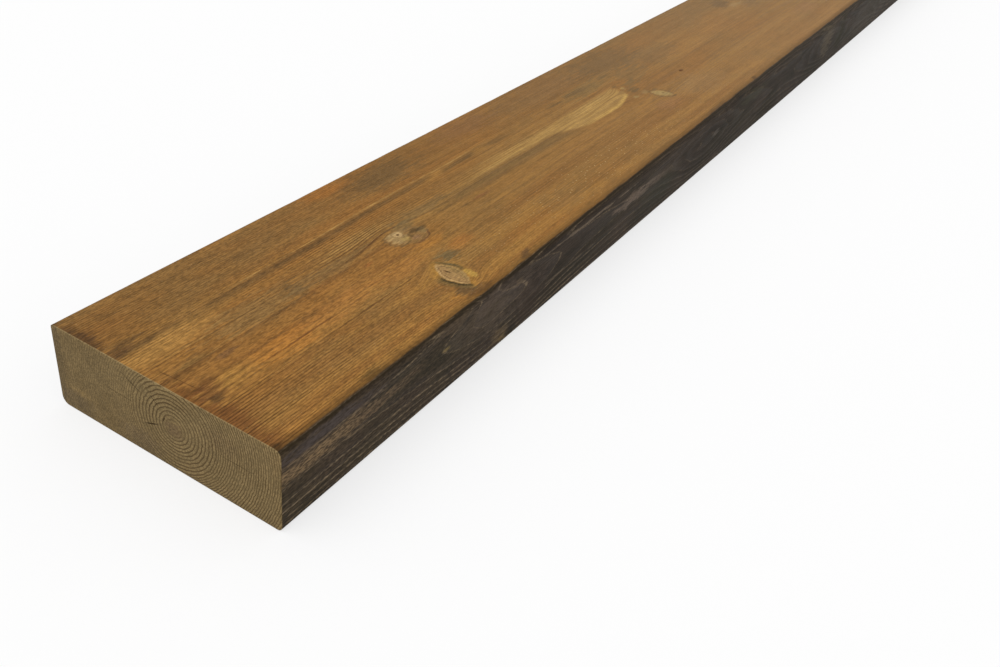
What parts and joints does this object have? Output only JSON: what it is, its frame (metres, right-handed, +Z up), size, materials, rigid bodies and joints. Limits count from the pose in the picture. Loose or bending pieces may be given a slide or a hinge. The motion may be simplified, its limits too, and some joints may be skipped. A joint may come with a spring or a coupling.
{
  "type": "timber plank",
  "caption": "Long rectangular solid softwood plank with square-cut ends and eased long edges, laid flat as a board, tread, bearer or raw stock for cutting.",
  "frame": {"origin": "on the underside, at the middle of the plank's length and width", "axes": "+X along the grain, away from the end that the picture shows; +Y across the width, so that the dark edge in the picture faces -Y; +Z up through the thickness"},
  "size_m": [2.4, 0.225, 0.075],
  "materials": {
    "stained_pine": "matte"
  },
  "bodies": {
    "root": {"plank": "stained_pine"}
  },
  "joints": []
}
